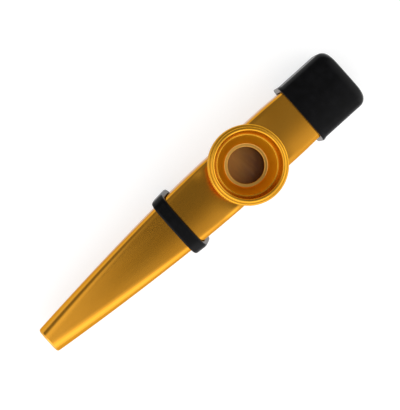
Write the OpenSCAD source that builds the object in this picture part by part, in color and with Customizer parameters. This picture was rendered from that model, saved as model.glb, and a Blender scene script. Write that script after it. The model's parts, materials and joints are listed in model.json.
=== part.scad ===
// Metal kazoo: a body pressed in two halves, a screw cup over a film membrane,
// a rubber sleeve on the mouthpiece and a rubber band round the middle.
// X runs along the body, from the round outlet at -X to the mouthpiece at +X.
// Z is up, with the cup on top. The origin lies on the resting plane, midway along the length.
// Distances along the body are measured from the outlet and have names that end in _s.

/* [Body] */
// Overall length, from the outlet to the end of the mouthpiece sleeve
total_l = 120; // [112:1:140]
// Widest outside width of the body, under the cup
body_w = 18; // [17.6:0.1:21]
// Outside depth of the body, from the band to the mouthpiece
body_d = 14; // [12.5:0.1:17]
// Outside diameter of the round outlet
tip_d = 8.5; // [7.5:0.1:11]
// Length of the full section, from the taper to the end of the mouthpiece
full_l = 50; // [46:1:60]
// Corner radius of the full section
corner_r = 1.6; // [1.3:0.1:2.4]
// How far the top sinks from its middle line to its sides
crown_h = 0.45; // [0.1:0.05:0.6]
// Length over which the crown fades to the flat seat under the cup
crown_fade_l = 4; // [3:0.5:5]
// How much narrower the body gets just before the mouthpiece sleeve
mouth_step = 0.4; // [0:0.1:1]
// Length over which it gets narrower
mouth_step_l = 8; // [6:0.5:12]
// Thickness of the pressed sheet
sheet_t = 0.9; // [0.7:0.05:1.1]
// Radius rolled on the outer edge of the outlet
tip_edge_r = 0.35; // [0.2:0.05:0.35]
// Height of the step by which the two halves overlap along their seam
lap_h = 1.2; // [0.8:0.1:1.8]

/* [Cup] */
// Distance from the end of the mouthpiece back to the axis of the cup
cup_back = 41.3; // [38:0.1:44]
// Outside diameter of the cup, over its grip
cup_d = 24; // [23:0.1:28]
// Height of the cup above the socket that it screws into
cup_h = 11; // [10:0.25:14]
// Depth of the bowl, from the rim to the lip round the throat
bowl_depth = 8.4; // [7:0.1:8.8]
// Depth of the ledge inside the bowl, below the rim
ledge_depth = 4.2; // [3.4:0.1:5]
// Width of the ledge inside the bowl
ledge_w = 0.35; // [0.2:0.05:0.6]
// How far the steep upper wall of the bowl draws in
bowl_draw = 0.7; // [0.3:0.1:1]
// Diameter of the throat, down to the membrane
throat_d = 11; // [10:0.1:11.4]
// Width of the flat lip round the throat
lip_w = 1; // [0.6:0.1:1.2]
// Wall of the threaded neck
neck_t = 0.8; // [0.7:0.05:0.9]
// Length of the threaded neck
neck_l = 3.4; // [3:0.1:4.5]
// Height of the grip round the outside
grip_h = 3.4; // [2.4:0.1:4]
// Step from the grip in to the rim
grip_step = 0.75; // [0.5:0.05:1]
// Height of the rim above the grip
rim_rise = 0.85; // [0.85:0.05:1.5]
// Width of the round bead on the rim
bead_w = 1.3; // [1:0.1:1.6]
// Height of the straight waist above the neck
waist_h = 1.2; // [0.8:0.1:1.8]
// How far the waist stands out from the neck
waist_step = 1.3; // [0.9:0.1:1.6]

/* [Socket and membrane] */
// Outside diameter of the socket's flange on top of the body
flange_d = 17.2; // [16:0.1:18]
// Thickness of the flange
flange_t = 1; // [0.8:0.1:1.4]
// Wall of the socket round the neck
socket_t = 0.65; // [0.5:0.05:0.7]
// How far the rim swaged out under the sheet stands out
swage_w = 0.3; // [0.2:0.05:0.4]
// Height of the swaged rim
swage_h = 0.7; // [0.5:0.05:1]
// Thickness of the seat that carries the membrane
seat_t = 0.8; // [0.6:0.05:1.2]
// Thickness of the stiff ring round the membrane
ring_t = 0.6; // [0.4:0.05:0.8]
// Width of the stiff ring
ring_w = 0.7; // [0.6:0.05:0.75]
// Thickness of the film
film_t = 0.12; // [0.1:0.01:0.2]

/* [Mouthpiece sleeve] */
// Length of the sleeve
sleeve_l = 18.5; // [15:0.5:22]
// Wall of the sleeve round the body
sleeve_t = 1.2; // [0.9:0.05:1.6]
// Corner radius of the nose, seen from above
nose_r = 3.3; // [2.6:0.1:3.4]
// Rounding of the nose, seen from the side
nose_side_r = 2.4; // [1.6:0.1:2.6]
// Thickness of the nose in front of the body's end
nose_t = 2; // [1.6:0.1:2.6]
// Width of the flat rim at each side of the opening
nose_rim_w = 0.2; // [0.1:0.05:1]
// Height of the flat rim above and below the opening
nose_rim_h = 1.65; // [0.8:0.05:2.2]
// Corner radius of the opening
slot_r = 2.2; // [1.6:0.1:2.8]
// Rounding of the edge of the opening
slot_edge_r = 0.5; // [0.3:0.05:0.6]
// How far the open end flares out at each side
flare = 0.3; // [0.15:0.05:0.5]
// Length of the flare
flare_l = 1; // [0.6:0.1:1.6]

/* [Band] */
// Distance from the axis of the cup back to the middle of the band
band_back = 25.2; // [20:0.1:31]
// Width of the band along the body
band_w = 4.2; // [3:0.1:6]
// Thickness of the band
band_t = 1.35; // [1:0.05:1.4]
// How much nearer to the cup the band sits underneath than on top
band_lean = 3.6; // [0:0.1:4]
// How far the band's sides swell beyond the line of its corners
band_swell = 0.25; // [0.1:0.05:0.5]
// Rounding of the band's outer edges
band_edge_r = 0.4; // [0.2:0.05:0.5]

/* [Fits] */
// Radial clearance of the neck in the socket
thread_fit = 0.05; // [0.02:0.01:0.1]
// Clearance of the rubber pieces on the body
slide_fit = 0.15; // [0.1:0.01:0.25]
// Play above and below the membrane, and at the end of the body
seat_gap = 0.1; // [0.05:0.01:0.2]
// Gap between the cup's waist and the socket's flange
cup_gap = 0.3; // [0.2:0.05:0.5]
// Clearance of the socket in its hole, and of the seam's overlap
press_fit = 0.03; // [0.02:0.01:0.05]

/* [Hidden] */

// Colours, as the gold finish of the object shows them
gold = "#d89a2e";
turned_gold = "#c9851c";
rubber = "#141416";
film_tint = "#9a7a58";
card = "#c9b79a";

// Steps of a rounded corner, of half the crown, of a rounded edge and of the rest
corner_steps = 7;
crown_steps = 3;
edge_steps = 3;
taper_steps = 14;
fade_steps = 3;
step_steps = 3;
nose_steps = 7;
arc_steps = 8;
cut_steps = 96;

// How fast the taper opens: 1 is a straight cone, 2 is a parabola
taper_power = 1.55;
// How fast the section turns from round to square
square_power = 1.4;
// How much closer the stations stand towards the outlet: 1 is even
station_power = 1.3;
// How round the outlet is: 1 is a full circle
round_share = 0.96;
// Most of the sheet's outer leaf that the rolled edge may take
leaf_share = 0.85;
// Length that a cut runs past what it cuts
overrun = 1;

// Heights above the resting plane
seam_z = body_d / 2 + slide_fit + sleeve_t;
top_z = seam_z + body_d / 2;
flange_z = top_z + flange_t;
cup_z = flange_z + cup_gap;
rim_z = cup_z + cup_h;
nose_z = flange_z - neck_l;
ring_z = nose_z - seat_gap - ring_t;
film_z = ring_z - film_t;
seat_z = film_z - seat_gap;
lip_z = rim_z - bowl_depth;
ledge_z = rim_z - ledge_depth;
grip_top_z = rim_z - rim_rise;
grip_z = grip_top_z - grip_h;

// Radii about the axis of the cup
throat_r = throat_d / 2;
neck_r = throat_r + neck_t;
bore_r = neck_r + thread_fit;
socket_r = bore_r + socket_t;
ring_r = bore_r - seat_gap;
waist_r = neck_r + waist_step;
grip_r = cup_d / 2;
rim_r = grip_r - grip_step;
bowl_r = rim_r - bead_w;
ledge_r = bowl_r - bowl_draw;

// Places along the body
taper_l = total_l - full_l;
cup_s = total_l - cup_back;
band_s = cup_s - band_back;
seat_near = flange_d / 2;
seat_far = seat_near + crown_fade_l;
mouth_s = total_l - sleeve_l;
mouth_step_s = max(mouth_s - mouth_step_l, cup_s + seat_far);
body_end_s = total_l - nose_t - seat_gap;
mouth_half_w = (body_w - mouth_step) / 2;

// The outer and inner leaves of the overlap along the seam, and the edge rolled on the outlet
leaf_t = (sheet_t - press_fit) / 2;
outlet_edge_r = min(tip_edge_r, leaf_share * leaf_t);

// Half width, half depth and corner radius of the sleeve's cavity, outside and opening
sleeve_cavity = [mouth_half_w + slide_fit, body_d / 2 + slide_fit, corner_r + slide_fit];
sleeve_outside = inset(sleeve_cavity, -sleeve_t);
sleeve_slot = [
    sleeve_outside[0] - nose_r - nose_rim_w - slot_edge_r,
    sleeve_outside[1] - nose_side_r - nose_rim_h - slot_edge_r,
    slot_r
];

// Shares from 0 to 1 along the body
function taper_share(s) = s < taper_l ? 1 - pow(1 - s / taper_l, taper_power) : 1;
function square_share(s) = s < taper_l ? 1 - pow(1 - s / taper_l, square_power) : 1;
function smooth_share(t) = let (u = max(0, min(1, t))) u * u * (3 - 2 * u);
function step_share(s) = smooth_share((s - mouth_step_s) / (mouth_s - mouth_step_s));
function crown_share(s) = square_share(s) * smooth_share((abs(s - cup_s) - seat_near) / crown_fade_l);

// Half width, half depth and corner radius of the body at a distance from the outlet
function half_w(s) = (tip_d + (body_w - tip_d) * taper_share(s) - mouth_step * step_share(s)) / 2;
function half_d(s) = (tip_d + (body_d - tip_d) * taper_share(s)) / 2;
function round_r(s) = let (tip_r = round_share * tip_d / 2)
    tip_r + (corner_r - tip_r) * square_share(s);
function size_at(s) = [half_w(s), half_d(s), round_r(s)];
// Height above the seam once the top is crowned, y being the distance from the middle line
function crowned(s, y, z) = z > 0
    ? z * (1 - crown_h * crown_share(s) / half_d(s) * pow(y / half_w(s), 2))
    : z;

// The same size with its outline moved in by a distance
function inset(size, d) = [size[0] - d, size[1] - d, size[2] - d];
// Inset of an edge rounded by radius r, at distance s from the end
function edge_inset(s, r) = s < r ? r - sqrt(r * r - pow(r - s, 2)) : 0;

// Half width of an outline at a height above its middle
function side_y(size, z) = let (bend_z = size[1] - size[2])
    z <= bend_z ? size[0] : size[0] - size[2] + sqrt(pow(size[2], 2) - pow(z - bend_z, 2));
function corner_point(size, a) = [
    size[0] - size[2] * (1 - cos(a)),
    size[1] - size[2] * (1 - sin(a))
];
// Points across half of an outline's flat top, from the +Y corner towards the middle
function across_points(size, steps) = [
    for (k = [1:1:steps]) [(size[0] - size[2]) * (1 - 2 * k / (2 * steps + 1)), size[1]]
];
function mirrored(list) = [for (p = list) [-p[0], p[1]]];
function reversed(list) = [for (k = [len(list) - 1:-1:0]) list[k]];
// Outline from height z at the +Y side, over the top, to height z at the -Y side
function arch(size, z, across) = let (
    rise_share = (z - size[1] + size[2]) / size[2],
    start = rise_share > 0 ? asin(rise_share) : 0,
    turn = (90 - start) / corner_steps,
    first = rise_share > 0 ? start + turn / 2 : 0,
    side = concat(
        [[side_y(size, z), z], corner_point(size, first)],
        [for (k = [1:corner_steps]) corner_point(size, start + k * turn)],
        across_points(size, across)
    ))
    concat(side, mirrored(reversed(side)));
function arch_count(across) = 2 * (corner_steps + 2 + across);
// Whole outline of a rounded rectangle, with points across its top only
function half_loop(size, across) = let (
    quarter = concat(
        [for (k = [0:corner_steps]) corner_point(size, 90 * k / corner_steps)],
        across_points(size, across)
    ))
    concat(quarter, mirrored(reversed(quarter)));
function loop(size) = concat(
    half_loop(size, crown_steps),
    [for (p = half_loop(size, 0)) [-p[0], -p[1]]]
);

// Points of a flat outline placed square to X, up being 1 or -1
function ring_at(s, outline, up = 1) = [
    for (p = outline) [s - total_l / 2, p[0] * up, seam_z + crowned(s, p[0], p[1] * up)]
];

// Triangles of the bands between rings of points
function band_faces(rings, count, closed) = [
    for (i = [0:rings - (closed ? 1 : 2)]) for (j = [0:count - 1])
        let (a = i * count + j, b = i * count + (j + 1) % count,
             c = (i + 1) % rings * count + (j + 1) % count, d = (i + 1) % rings * count + j)
            each [[a, c, b], [a, d, c]]
];
// Triangles of an end face, laid across the wall from each pair of points to the next
function end_faces(pairs, first, front) = [
    for (i = [0:len(pairs) - 2])
        let (a = first + pairs[i][0], b = first + pairs[i + 1][0],
             c = first + pairs[i + 1][1], d = first + pairs[i][1])
            for (t = [[a, b, c], [a, c, d]])
                if (t[0] != t[1] && t[1] != t[2]) front ? t : reversed(t)
];
// Solid through rings of points: with pairs given it gets end faces, else it meets itself
module solid_through(rings, pairs = []) {
    count = len(rings[0]);
    closed = len(pairs) == 0;
    polyhedron(
        points = [for (ring = rings) each ring],
        faces = concat(
            band_faces(len(rings), count, closed),
            closed ? [] : end_faces(pairs, 0, true),
            closed ? [] : end_faces(pairs, (len(rings) - 1) * count, false)
        ),
        convexity = 6
    );
}

// Stations along the body: close together on the rolled edge, round the seat and where it narrows
body_stations = concat(
    [for (k = [0:edge_steps]) outlet_edge_r * (1 - cos(90 * k / edge_steps))],
    [for (k = [1:taper_steps]) (cup_s - seat_far) * pow(k / taper_steps, station_power)],
    [for (k = [1:fade_steps]) cup_s - seat_far + crown_fade_l * k / fade_steps],
    [for (k = [0:fade_steps]) cup_s + seat_near + crown_fade_l * k / fade_steps],
    [for (k = [1:step_steps]) mouth_step_s + (mouth_s - mouth_step_s) * k / step_steps],
    [body_end_s]
);

// Section of the upper half: its inner leaf stops short of the seam
function upper_section(s) = let (
    outside = inset(size_at(s), edge_inset(s, outlet_edge_r)),
    leaf = inset(size_at(s), leaf_t),
    inside = inset(size_at(s), sheet_t),
    lap_z = lap_h + press_fit,
    seam_points = [[-side_y(leaf, 0), 0], [-side_y(leaf, lap_z), lap_z]])
    concat(
        arch(outside, 0, crown_steps),
        seam_points,
        reversed(arch(inside, lap_z, crown_steps)),
        mirrored(reversed(seam_points))
    );
// Its points that face each other across the sheet
function upper_pairs() = let (n = arch_count(crown_steps)) concat(
    [[0, 2 * n + 3], [1, 2 * n + 2]],
    [for (k = [0:n - 1]) [max(1, min(n - 2, k)), 2 * n + 1 - k]],
    [[n - 2, n + 1], [n - 1, n]]
);
// Section of the lower half, drawn upside down: its inner leaf stands up past the seam
function lower_section(s) = let (
    outside = inset(size_at(s), edge_inset(s, outlet_edge_r)),
    leaf = inset(size_at(s), leaf_t + press_fit),
    inside = inset(size_at(s), sheet_t),
    seam_points = [
        [-side_y(leaf, 0), 0], [-side_y(leaf, lap_h), -lap_h], [-side_y(inside, lap_h), -lap_h]
    ])
    concat(
        arch(outside, 0, 0),
        seam_points,
        reversed(arch(inside, 0, 0)),
        mirrored(reversed(seam_points))
    );
function lower_pairs() = let (n = arch_count(0)) concat(
    [[2 * n + 4, 2 * n + 3], [2 * n + 5, 2 * n + 2]],
    [for (k = [0:n - 1]) [k, 2 * n + 2 - max(1, min(n - 2, k))]],
    [[n, n + 4], [n, n + 3], [n + 1, n + 2]]
);

module on_cup_axis() {
    translate([cup_s - total_l / 2, 0, 0]) children();
}

module upper_shell() {
    color(gold) difference() {
        solid_through([for (s = body_stations) ring_at(s, upper_section(s))], upper_pairs());
        on_cup_axis() translate([0, 0, seam_z])
            cylinder(r = socket_r + press_fit, h = body_d / 2 + overrun, $fn = cut_steps);
    }
}

module lower_shell() {
    color(gold)
        solid_through([for (s = body_stations) ring_at(s, lower_section(s), -1)], lower_pairs());
}

// Turned ring with a thread inside, swaged into the hole in the upper half
module membrane_socket() {
    swage_z = top_z - sheet_t;
    bevel = flange_t / 3;
    color(turned_gold) on_cup_axis() rotate_extrude($fn = cut_steps) polygon([
        [throat_r, seat_z - seat_t],
        [socket_r, seat_z - seat_t],
        [socket_r, swage_z - swage_h],
        [socket_r + swage_w, swage_z - swage_h + swage_w],
        [socket_r + swage_w, swage_z],
        [socket_r, swage_z],
        [socket_r, top_z],
        [flange_d / 2, top_z],
        [flange_d / 2, flange_z - bevel],
        [flange_d / 2 - bevel, flange_z],
        [bore_r, flange_z],
        [bore_r, seat_z],
        [throat_r, seat_z]
    ]);
}

module membrane_ring() {
    color(card) on_cup_axis() translate([0, 0, ring_z]) difference() {
        cylinder(r = ring_r, h = ring_t, $fn = cut_steps);
        translate([0, 0, -overrun])
            cylinder(r = ring_r - ring_w, h = ring_t + 2 * overrun, $fn = cut_steps);
    }
}

module membrane_film() {
    color(film_tint) on_cup_axis() translate([0, 0, film_z])
        cylinder(r = ring_r, h = film_t, $fn = cut_steps);
}

// Turned cup: a threaded neck, a waist that flares to the grip, and a bead round the bowl
module screw_cup() {
    bevel = grip_step / 2;
    waist_z = cup_z + waist_h;
    flare_out = grip_r - bevel - waist_r;
    flare_up = grip_z - waist_z;
    bead_r = bead_w / 2;
    outside = concat(
        [[throat_r, nose_z], [neck_r, nose_z], [neck_r, cup_z], [waist_r, cup_z]],
        [for (k = [0:arc_steps]) let (a = 90 * k / arc_steps)
            [waist_r + flare_out * (1 - cos(a)), waist_z + flare_up * sin(a)]],
        [[grip_r, grip_z + bevel], [grip_r, grip_top_z - bevel], [grip_r - bevel, grip_top_z],
         [rim_r, grip_top_z]]
    );
    bead = [for (k = [0:arc_steps]) let (a = 180 * k / arc_steps)
        [rim_r - bead_r * (1 - cos(a)), rim_z - bead_r * (1 - sin(a))]];
    inside = [
        [ledge_r, ledge_z],
        [ledge_r - ledge_w, ledge_z],
        [throat_r + lip_w, lip_z],
        [throat_r, lip_z]
    ];
    color(turned_gold) on_cup_axis() rotate_extrude($fn = cut_steps)
        polygon(concat(outside, bead, inside));
}

// Sizes round the sleeve, each with its distance from the outlet, in a closed loop
function sleeve_rings() = let (
    wide = [sleeve_outside[0] + flare, sleeve_outside[1], sleeve_outside[2]],
    edge = flare / 2)
    concat(
        [[mouth_s, sleeve_cavity],
         [mouth_s, inset(wide, edge)],
         [mouth_s + edge, wide],
         [mouth_s + flare_l - flare, wide],
         [mouth_s + flare_l, sleeve_outside]],
        [for (k = [0:nose_steps]) let (a = 90 * k / nose_steps, in = 1 - cos(a))
            [total_l - nose_r * (1 - sin(a)),
             sleeve_outside - [nose_r * in, nose_side_r * in, 0]]],
        [for (k = [0:edge_steps]) let (a = 90 * k / edge_steps)
            [total_l - slot_edge_r * (1 - cos(a)),
             inset(sleeve_slot, -slot_edge_r * (1 - sin(a)))]],
        [[total_l - nose_t, sleeve_slot],
         [total_l - nose_t, sleeve_cavity]]
    );

module mouthpiece_sleeve() {
    color(rubber)
        solid_through([for (r = sleeve_rings()) ring_at(r[0], loop(r[1]))]);
}

// Outline with points halfway up its sides, which swell outwards
function swelled_loop(size, swell) = let (
    middle = [[size[0], 0]],
    upper = concat(middle, half_loop(size, crown_steps)),
    lower = concat(middle, half_loop(size, 0)))
    [for (p = concat(upper, [for (q = lower) [-q[0], -q[1]]]))
        [p[0] * (1 + swell / size[0] * (1 - pow(p[1] / size[1], 2))), p[1]]];
// The band follows the taper, and leans so that its underside sits nearer to the cup
function band_ring(s, size, swell) = let (tall = half_d(band_s) + band_t)
    [for (p = ring_at(s, swelled_loop(size, swell)))
        p - [(p[2] - seam_z) / tall * band_lean / 2, 0, 0]];
function band_rings() = let (
    front_s = band_s - band_w / 2,
    back_s = band_s + band_w / 2,
    front = inset(size_at(front_s + band_lean / 2), -slide_fit),
    back = inset(size_at(back_s + band_lean / 2), -slide_fit),
    round = [for (k = [0:edge_steps]) 90 * k / edge_steps])
    concat(
        [band_ring(front_s, front, 0)],
        [for (a = round) band_ring(front_s + band_edge_r * (1 - cos(a)),
            inset(front, -band_t + band_edge_r * (1 - sin(a))), band_swell)],
        [for (a = reversed(round)) band_ring(back_s - band_edge_r * (1 - cos(a)),
            inset(back, -band_t + band_edge_r * (1 - sin(a))), band_swell)],
        [band_ring(back_s, back, 0)]
    );

module body_band() {
    color(rubber) solid_through(band_rings());
}

upper_shell();
lower_shell();
membrane_socket();
membrane_ring();
membrane_film();
screw_cup();
mouthpiece_sleeve();
body_band();
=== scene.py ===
# %% [markdown]
# # A gold kazoo, dressed piece by piece
# A kazoo is a small metal tube that the player hums into. A film under the screw cup buzzes with the voice.
# The packed solids give every piece its size, place and motion, and this lesson gives each one its finished
# shape and surface: two pressed half shells, a turned socket and cup, a card ring with its film, and two
# rubber pieces. Each step says what the piece is, how it could be made, and why one way was chosen.

import json
import math

import bmesh
import bpy
from mathutils import Matrix, Vector, noise

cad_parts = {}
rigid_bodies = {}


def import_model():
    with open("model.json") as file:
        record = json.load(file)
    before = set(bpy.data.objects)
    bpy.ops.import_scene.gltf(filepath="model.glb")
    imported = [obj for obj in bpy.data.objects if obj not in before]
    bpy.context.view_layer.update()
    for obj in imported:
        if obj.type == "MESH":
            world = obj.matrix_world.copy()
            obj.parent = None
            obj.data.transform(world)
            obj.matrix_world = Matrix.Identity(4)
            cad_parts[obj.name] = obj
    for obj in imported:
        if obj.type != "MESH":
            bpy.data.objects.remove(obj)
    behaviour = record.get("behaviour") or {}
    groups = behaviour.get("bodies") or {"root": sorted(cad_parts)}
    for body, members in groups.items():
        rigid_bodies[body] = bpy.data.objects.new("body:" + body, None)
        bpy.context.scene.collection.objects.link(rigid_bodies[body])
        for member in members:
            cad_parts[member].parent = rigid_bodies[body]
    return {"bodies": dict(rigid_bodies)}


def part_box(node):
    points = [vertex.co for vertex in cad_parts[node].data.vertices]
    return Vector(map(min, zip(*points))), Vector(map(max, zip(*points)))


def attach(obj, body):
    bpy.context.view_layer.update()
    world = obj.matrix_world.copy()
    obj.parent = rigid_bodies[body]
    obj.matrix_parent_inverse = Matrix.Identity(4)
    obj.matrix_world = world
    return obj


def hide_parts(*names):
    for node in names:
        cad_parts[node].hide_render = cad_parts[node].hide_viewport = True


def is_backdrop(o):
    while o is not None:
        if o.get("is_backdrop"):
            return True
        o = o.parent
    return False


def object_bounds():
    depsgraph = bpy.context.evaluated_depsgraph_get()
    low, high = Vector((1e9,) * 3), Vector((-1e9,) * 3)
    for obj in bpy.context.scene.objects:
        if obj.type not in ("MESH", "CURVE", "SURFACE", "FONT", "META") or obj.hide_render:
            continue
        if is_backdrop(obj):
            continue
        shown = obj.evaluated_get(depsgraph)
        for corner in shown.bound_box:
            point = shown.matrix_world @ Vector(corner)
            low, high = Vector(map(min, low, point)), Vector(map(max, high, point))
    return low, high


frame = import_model()
cad_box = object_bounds()
print("bodies:", ", ".join(frame["bodies"]))

# %% [markdown]
# ## Sizes
# Everything is in metres. What a box of a solid can tell is read from the frame, so that the finished pieces
# stay with the solids, and the rest is named here in millimetres. X runs from the round outlet to the
# mouthpiece, and distances along the body are measured from the outlet.

# %% Sizes read from the solids
MM = 0.001

upper_low, upper_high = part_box("upper_shell")
cup_low, cup_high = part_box("screw_cup")
socket_low, socket_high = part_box("membrane_socket")
ring_low, ring_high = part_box("membrane_ring")
film_low, film_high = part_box("membrane_film")
sleeve_low, sleeve_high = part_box("mouthpiece_sleeve")

outlet_x = upper_low.x
seam_z = upper_low.z
top_z = upper_high.z
body_length = upper_high.x - outlet_x
cup_axis = Vector(((cup_low.x + cup_high.x) / 2, 0.0, 0.0))
cup_place = cup_axis.x - outlet_x
sleeve_place = sleeve_low.x - outlet_x
print(f"body {body_length / MM:.1f} mm, cup axis at {cup_place / MM:.1f} mm from the outlet")

# %% Sizes of the sheet and of the section
SHEET = 0.9 * MM
LEAF = 0.435 * MM
LAP = 1.2 * MM
FIT = 0.03 * MM

body_sizes = {
    "Outlet radius": 4.25 * MM,
    "Half width": upper_high.y,
    "Half depth": top_z - seam_z,
    "Corner radius": 1.6 * MM,
    "Taper length": 70 * MM,
    "Crown": 0.45 * MM,
    "Cup place": cup_place,
    "Seat radius": 8.6 * MM,
    "Crown fade": 7 * MM,
    "Step place": 93.5 * MM,
    "Step length": 8 * MM,
    "Step": 0.2 * MM,
    "End rounding": 0.7 * MM,
}
OPENING_POWER = 1.55
SQUARING_POWER = 1.4
OUTLET_ROUND_SHARE = 0.96
print("full section:", [round(body_sizes[name] / MM, 2) for name in ("Half width", "Half depth")])

# %% [markdown]
# ## Sums that work in Python and in nodes
# The body's section changes along its length by one rule. The half shells are grown from that rule by a tree
# of nodes, while the band and the sleeve are drawn in Python around the same body. To write the rule only
# once, a small class wraps a node's socket and overloads the operators: with plain numbers the rule gives a
# number, and with wires it adds the Math nodes that give the same number at every point.

# %% Wires and the bench that holds a tree
class Wire:
    """The value of one socket in a node tree. Sums with it add Math nodes."""

    def __init__(self, bench, socket):
        self.bench, self.socket = bench, socket

    def beside(self, name):
        """Another output of the same node."""
        return Wire(self.bench, self.socket.node.outputs[name])

    def __add__(self, other):
        return self.bench.math("ADD", self, other)

    def __sub__(self, other):
        return self.bench.math("SUBTRACT", self, other)

    def __rsub__(self, other):
        return self.bench.math("SUBTRACT", other, self)

    def __mul__(self, other):
        return self.bench.math("MULTIPLY", self, other)

    def __truediv__(self, other):
        return self.bench.math("DIVIDE", self, other)

    def __pow__(self, other):
        return self.bench.math("POWER", self, other)

    def __abs__(self):
        return self.bench.math("ABSOLUTE", self)

    __radd__ = __add__
    __rmul__ = __mul__


class Bench:
    """A node tree being built. Every node comes from add."""

    def __init__(self, tree):
        self.tree = tree

    def add(self, kind, settings=None, sockets=None, out=0):
        """Adds a node, sets it up first, then gives its sockets their values or links."""
        node = self.tree.nodes.new(kind)
        for name, value in (settings or {}).items():
            setattr(node, name, value)
        for name, value in (sockets or {}).items():
            if isinstance(value, Wire):
                self.tree.links.new(value.socket, node.inputs[name])
            else:
                node.inputs[name].default_value = value
        return Wire(self, node.outputs[out]) if len(node.outputs) else node

    def math(self, operation, *values):
        return self.add("ShaderNodeMath", {"operation": operation}, dict(enumerate(values)))

    def split(self, vector):
        """The X, Y and Z of a vector."""
        x = self.add("ShaderNodeSeparateXYZ", {}, {0: vector}, out="X")
        return x, x.beside("Y"), x.beside("Z")

    def join(self, x=0.0, y=0.0, z=0.0):
        """A vector of three numbers or wires."""
        return self.add("ShaderNodeCombineXYZ", {}, {"X": x, "Y": y, "Z": z})


print("operators ready:", [name for name in vars(Wire) if name.startswith("__r")])

# %% Functions for numbers and wires alike
def either(operation, plain, *values):
    """A Math node where one of the values is a wire, and plain Python where none is."""
    wires = [value for value in values if isinstance(value, Wire)]
    return wires[0].bench.math(operation, *values) if wires else plain(*values)


def most(a, b):
    return either("MAXIMUM", max, a, b)


def least(a, b):
    return either("MINIMUM", min, a, b)


def clamped(value):
    return most(0.0, least(1.0, value))


def eased(value):
    """A soft step from 0 to 1."""
    t = clamped(value)
    return t * t * (3.0 - 2.0 * t)


def turned_in(s, inset, sizes):
    """How far the sheet's outer face turns in at the outlet's rounded edge. Its inner face stays straight."""
    left = 1.0 - clamped(s / sizes["End rounding"])
    return sizes["End rounding"] * (1.0 - (1.0 - left * left) ** 0.5) * (1.0 - inset / SHEET)


def body_section(s, sizes):
    """Half width, half depth and corner radius at distance s, and how fast the crown sinks the top."""
    left = most(0.0, 1.0 - s / sizes["Taper length"])
    opening = 1.0 - left ** OPENING_POWER
    squaring = 1.0 - left ** SQUARING_POWER
    outlet = sizes["Outlet radius"]
    narrowing = sizes["Step"] * eased((s - sizes["Step place"]) / sizes["Step length"])
    half_width = outlet + (sizes["Half width"] - outlet) * opening - narrowing
    half_depth = outlet + (sizes["Half depth"] - outlet) * opening
    outlet_corner = outlet * OUTLET_ROUND_SHARE
    corner = outlet_corner + (sizes["Corner radius"] - outlet_corner) * squaring
    off_seat = eased((abs(s - sizes["Cup place"]) - sizes["Seat radius"]) / sizes["Crown fade"])
    sink = sizes["Crown"] * squaring * off_seat / (half_depth * half_width * half_width)
    return half_width, half_depth, corner, sink


for place in (0.0, 30 * MM, 52 * MM, body_length):
    print(f"at {place / MM:5.1f} mm:", [round(size / MM, 2) for size in body_section(place, body_sizes)[:3]])

# %% [markdown]
# ## Finishes
# The gold parts are aluminium, anodised and dyed, so the colour belongs to the metal: Metallic is 1 and the
# base colour tints every reflection. The pressed shells are brushed along the body, and the turned parts
# carry fine rings from the lathe. Both are read in object coordinates, which are metres on the real piece,
# so a scale of 5000 gives grains a fifth of a millimetre across. Stretching the coordinates along one axis
# before the noise turns grains into scratches. Metal turns white where it is seen at a glancing angle, which
# made the gold look pink, so a tint keeps it golden there. Inside the cup's bowl the gold is painted lighter
# as painted light, and the lip round the throat is painted paler as a painted highlight. The rubber is nearly
# black with a weak sheen, and the card is matt. The film is dark brown, partly its own tint and partly
# painted shade of the dark inside behind it. It is painted paler towards one side as painted light, and it
# lets a little light through. In the sums for colour and roughness each noise has a small weight of its own.

# %% A material with its bench
def new_finish(name, colour, metallic, roughness, **fixed):
    """A material, its bench and its Principled shader. What is the same all over goes on the shader."""
    material = bpy.data.materials.new(name)
    material.use_nodes = True
    material.diffuse_color = (*colour, 1.0)
    shader = material.node_tree.nodes["Principled BSDF"]
    shader.inputs["Base Color"].default_value = (*colour, 1.0)
    shader.inputs["Metallic"].default_value = metallic
    shader.inputs["Roughness"].default_value = roughness
    for socket, value in fixed.items():
        shader.inputs[socket.replace("_", " ")].default_value = value
    return material, Bench(material.node_tree), shader


def feed(bench, wire, shader, socket):
    bench.tree.links.new(wire.socket, shader.inputs[socket])


def object_place(bench, stretch=(1.0, 1.0, 1.0), centre=(0.0, 0.0, 0.0)):
    """Object coordinates, moved so that centre is the origin, then stretched."""
    place = bench.add("ShaderNodeTexCoord", out="Object")
    moved = bench.add("ShaderNodeVectorMath", {"operation": "SUBTRACT"}, {0: place, 1: centre})
    return bench.add("ShaderNodeVectorMath", {"operation": "MULTIPLY"}, {0: moved, 1: stretch})


def speckle(bench, place, scale, detail=2.0):
    """Noise from 0 to 1 with the given number of grains to a metre."""
    return bench.add("ShaderNodeTexNoise", {}, {"Vector": place, "Scale": scale, "Detail": detail}, out=0)


def blend_colours(bench, share, first, second):
    """A colour between two others, by a share from 0 to 1. Each is a wire or three numbers."""
    first, second = (colour if isinstance(colour, Wire) else (*colour, 1.0) for colour in (first, second))
    return bench.add("ShaderNodeMix", {"data_type": "RGBA"}, {0: share, 6: first, 7: second}, out=2)


def raised(bench, height, depth):
    """A bump of the given depth in metres."""
    return bench.add("ShaderNodeBump", {}, {"Height": height, "Distance": depth})


print("helpers for finishes ready")

# %% Gold anodised sheet, brushed along the body
GOLD = (0.64, 0.29, 0.028)
GOLD_DEEP = (0.60, 0.255, 0.018)
GOLD_WORN = (0.80, 0.48, 0.14)
GLANCING_GOLD = (0.81, 0.57, 0.27, 1.0)
COAT, COAT_ROUGHNESS = 0.06, 0.12
BRUSHED_GRAINS, SATIN_GRAINS, CLOUD_GRAINS = 5200.0, 9000.0, 130.0
SCRATCHED, DRAWN_OUT = (0.03, 1.0, 1.0), (0.4, 1.0, 1.0)
SCRATCH_DEPTH = 0.004 * MM
WEAR_WIDTH = 0.5 * MM

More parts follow.
